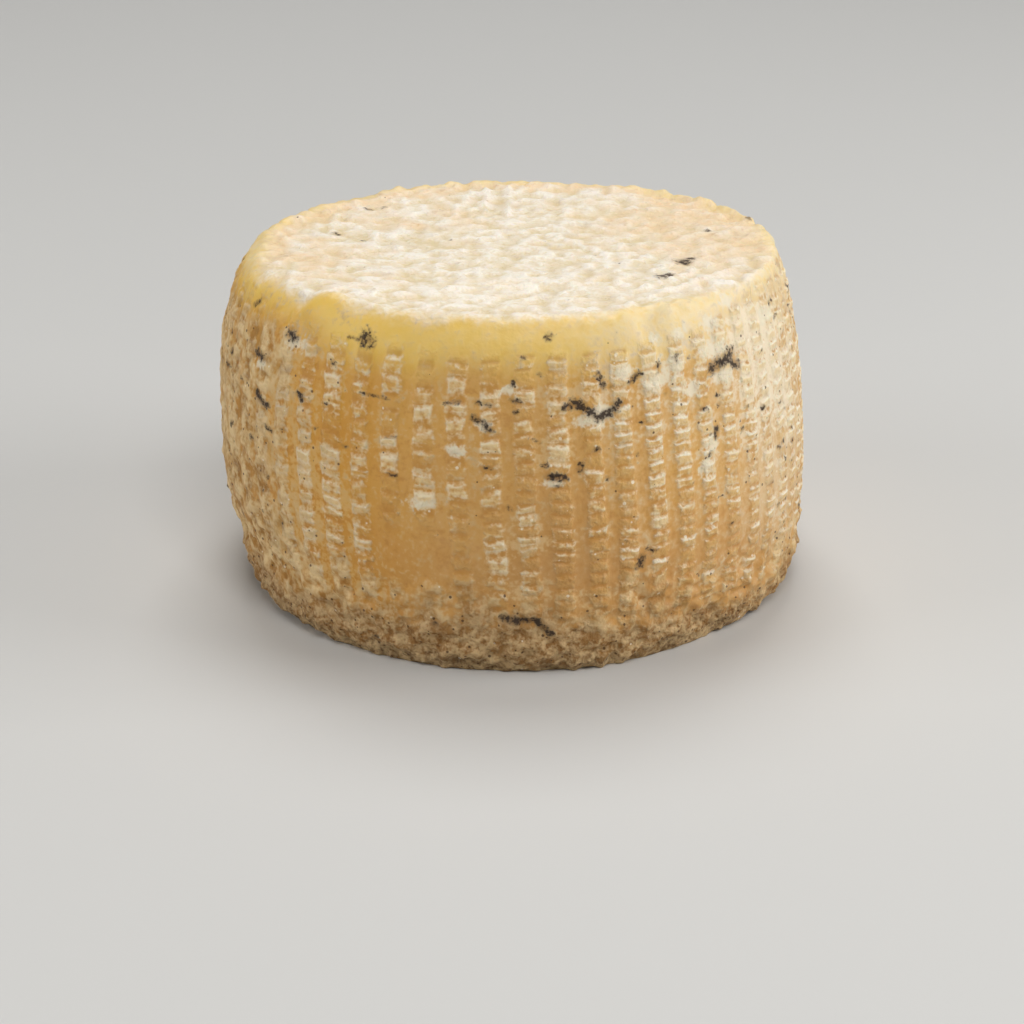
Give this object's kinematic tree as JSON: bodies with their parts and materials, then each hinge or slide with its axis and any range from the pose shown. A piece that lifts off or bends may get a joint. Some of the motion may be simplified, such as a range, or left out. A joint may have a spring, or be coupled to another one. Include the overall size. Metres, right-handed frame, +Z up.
{
  "type": "tomme cheese",
  "caption": "Whole round tomme cheese with bulging sides, basket marks pressed round the side, a pale flat top, a mottled natural rind and a flat base to stand on.",
  "frame": {"origin": "centre of the bounding box on the base, where the cheese stands", "axes": "+Z up through the wheel, its shortest extent; the side shown in the picture faces -Y"},
  "size_m": [0.1812, 0.1818, 0.104],
  "materials": {
    "rind": "dry natural cheese rind, matt with a slight waxy sheen, amber with a pale bloom and dark mould spots"
  },
  "bodies": {
    "root": {"cheese_wheel": "rind"}
  },
  "joints": []
}
